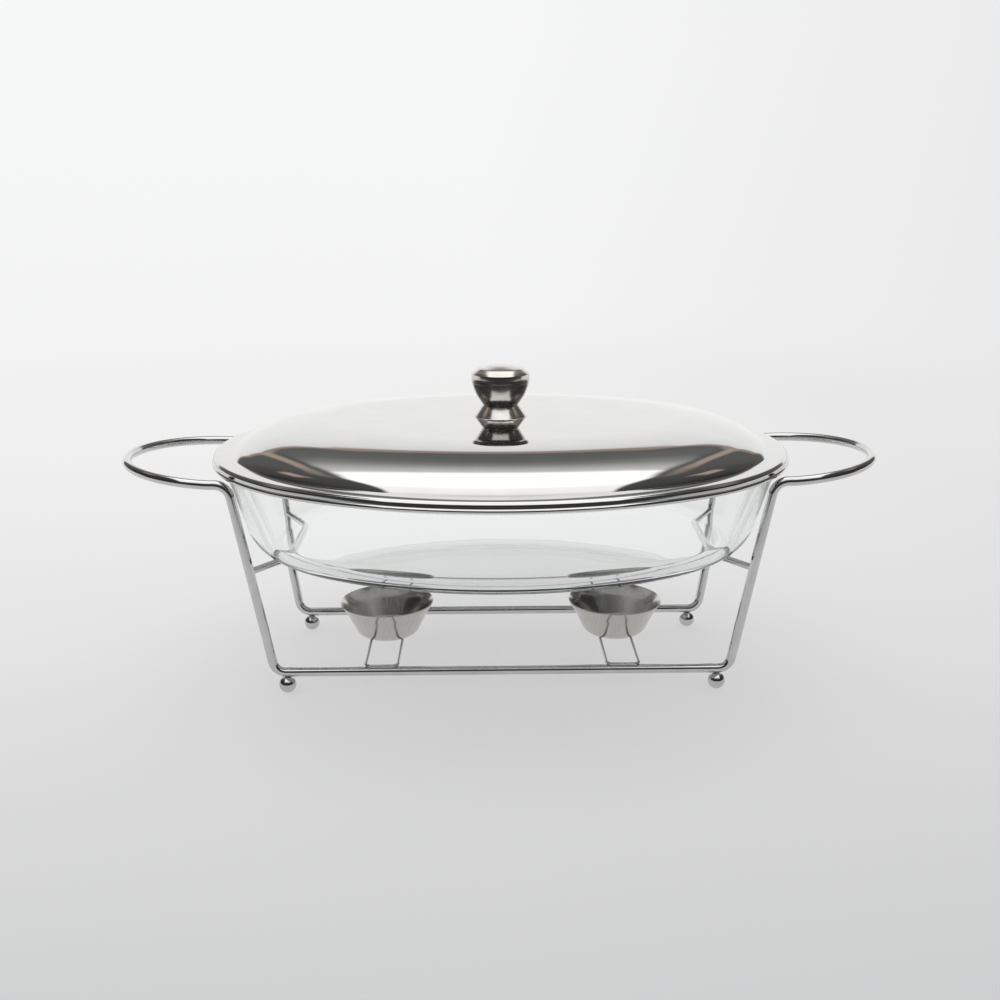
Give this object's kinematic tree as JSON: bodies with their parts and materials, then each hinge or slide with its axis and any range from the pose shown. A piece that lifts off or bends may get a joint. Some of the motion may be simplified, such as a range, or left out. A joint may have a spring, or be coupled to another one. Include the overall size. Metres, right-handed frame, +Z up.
{
  "type": "chafing dish",
  "caption": "Oval glass serving dish with a domed steel lid and knob on a bent-wire warming stand with ball feet, loop handles and candle cups.",
  "frame": {"origin": "middle of the stand at table height", "axes": "+X along the length towards the right handle, -Y to the front, +Z up"},
  "size_m": [0.4616, 0.28, 0.1919],
  "materials": {
    "chrome_wire": "bright plated",
    "mirror_steel": "mirror polished stainless steel",
    "satin_steel": "satin",
    "clear_glass": "clear, smooth",
    "brass_insert": "turned",
    "plain_steel": "zinc plated"
  },
  "bodies": {
    "stand": {"front_frame_wire": "chrome_wire", "rear_frame_wire": "chrome_wire", "left_dish_rest": "chrome_wire", "right_dish_rest": "chrome_wire", "left_cup_loop": "chrome_wire", "right_cup_loop": "chrome_wire", "foot_front_left": "chrome_wire", "foot_front_right": "chrome_wire", "foot_rear_left": "chrome_wire", "foot_rear_right": "chrome_wire", "left_candle_cup": "satin_steel", "right_candle_cup": "satin_steel"},
    "dish": {"glass_dish": "clear_glass"},
    "lid": {"lid_shell": "mirror_steel", "knob_cap": "mirror_steel", "knob_bowl": "mirror_steel", "knob_collar": "mirror_steel", "knob_nut": "brass_insert", "knob_screw": "plain_steel", "knob_washer": "plain_steel"}
  },
  "joints": [
    {"name": "dish_lift", "type": "slide", "parent": "stand", "child": "dish", "axis": [0, 0, 1], "range_m": [0, 0.12]},
    {"name": "lid_lift", "type": "slide", "parent": "dish", "child": "lid", "axis": [0, 0, 1], "range_m": [0, 0.12]}
  ]
}
